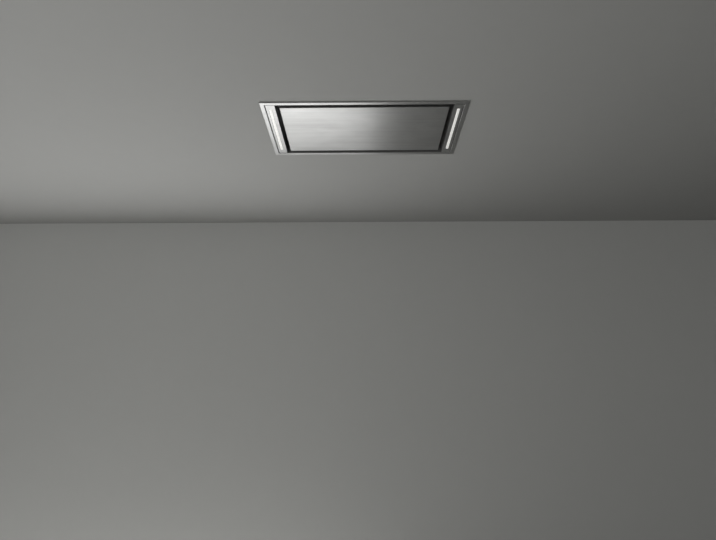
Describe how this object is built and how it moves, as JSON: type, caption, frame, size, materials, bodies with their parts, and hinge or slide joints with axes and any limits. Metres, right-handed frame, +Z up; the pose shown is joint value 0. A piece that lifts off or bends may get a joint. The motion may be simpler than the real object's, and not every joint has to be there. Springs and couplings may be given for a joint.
{
  "type": "ceiling range hood",
  "caption": "Flush ceiling range hood with a brushed steel suction panel that hinges down, light strips, grease filters, a centrifugal blower and a round duct outlet.",
  "frame": {"origin": "centre of the ceiling opening, on the underside of the ceiling, where the seal under the rim meets it", "axes": "+Z up into the ceiling, +X along the long side, +Y towards the hinged edge of the panel and the duct outlet"},
  "size_m": [0.9, 0.5428, 0.36],
  "materials": {
    "brushed_stainless": "brushed along the long side",
    "foam": "matte closed-cell foam",
    "zinc_steel": "zinc plated",
    "galvanised": "galvanised sheet",
    "black_enamel": "satin powder coat",
    "filter_aluminium": "satin",
    "channel_aluminium": "extruded and anodised",
    "opal": "opal diffuser",
    "board": "white solder mask",
    "black_plastic": "moulded",
    "grey_plastic": "moulded",
    "white_plastic": "moulded",
    "motor_paint": "satin",
    "rubber": "matte"
  },
  "bodies": {
    "housing": {"trim_frame": "brushed_stainless", "side_plate_left": "brushed_stainless", "side_plate_right": "brushed_stainless", "ceiling_seal": "foam", "plate_seals": "foam", "frame_screws": "zinc_steel", "motor_spider": "zinc_steel", "damper_pin": "zinc_steel", "housing_shell": "galvanised", "end_panel_left": "galvanised", "end_panel_right": "galvanised", "hanging_brackets": "galvanised", "scroll_wrap": "galvanised", "scroll_cheek_left": "galvanised", "scroll_cheek_right": "galvanised", "inlet_ring_left": "galvanised", "inlet_ring_right": "galvanised", "blower_brackets": "galvanised", "inlet_tray": "black_enamel", "filter_rail_rear": "black_enamel", "filter_rail_front": "black_enamel", "hinge_hangers": "black_enamel", "catch_brackets": "black_enamel", "filter_frame_left": "filter_aluminium", "filter_frame_right": "filter_aluminium", "filter_mesh_left": "filter_aluminium", "filter_mesh_right": "filter_aluminium", "light_channel_left": "channel_aluminium", "light_channel_right": "channel_aluminium", "light_lens_left": "opal", "light_lens_right": "opal", "light_board_left": "board", "light_board_right": "board", "latch_case_left": "black_plastic", "latch_case_right": "black_plastic", "outlet_adapter": "black_plastic", "outlet_collar": "black_plastic", "catch_magnets": "black_plastic", "junction_box": "grey_plastic", "junction_lid": "grey_plastic", "cable_gland": "grey_plastic", "control_box": "grey_plastic", "control_lid": "grey_plastic", "terminal_block": "white_plastic", "capacitor": "white_plastic", "light_driver": "white_plastic", "motor": "motor_paint", "motor_isolators": "rubber"},
    "panel": {"suction_panel": "brushed_stainless", "panel_liner": "zinc_steel", "hinge_lugs": "zinc_steel", "hinge_pins": "zinc_steel", "strike_plates": "zinc_steel"},
    "rotor": {"impeller_disc": "galvanised", "impeller_blades": "galvanised", "motor_shaft": "zinc_steel"},
    "latch_left": {"filter_latch_left": "black_plastic"},
    "latch_right": {"filter_latch_right": "black_plastic"},
    "flap_left": {"damper_flap_left": "black_plastic"},
    "flap_right": {"damper_flap_right": "black_plastic"}
  },
  "joints": [
    {"name": "panel_hinge", "type": "hinge", "parent": "housing", "child": "panel", "pos_m": [0, 0.1975, 0.0095], "axis": [1, 0, 0], "range_deg": [0, 90]},
    {"name": "impeller_spin", "type": "hinge", "parent": "housing", "child": "rotor", "pos_m": [0, 0.025, 0.178], "axis": [1, 0, 0], "continuous": true},
    {"name": "latch_left_slide", "type": "slide", "parent": "housing", "child": "latch_left", "axis": [0, 1, 0], "range_m": [0, 0.008], "stiffness_N_per_m": 400, "springref_m": -0.005},
    {"name": "latch_right_slide", "type": "slide", "parent": "housing", "child": "latch_right", "axis": [0, 1, 0], "range_m": [0, 0.008], "stiffness_N_per_m": 400, "springref_m": -0.005},
    {"name": "flap_left_swing", "type": "hinge", "parent": "housing", "child": "flap_left", "pos_m": [0, 0.2433, 0.226], "axis": [0, 0, -1], "range_deg": [0, 75], "stiffness_Nm_per_rad": 0.004, "springref_deg": -11.46},
    {"name": "flap_right_swing", "type": "hinge", "parent": "housing", "child": "flap_right", "pos_m": [0, 0.2433, 0.226], "axis": [0, 0, 1], "range_deg": [0, 75], "stiffness_Nm_per_rad": 0.004, "springref_deg": -11.46}
  ]
}
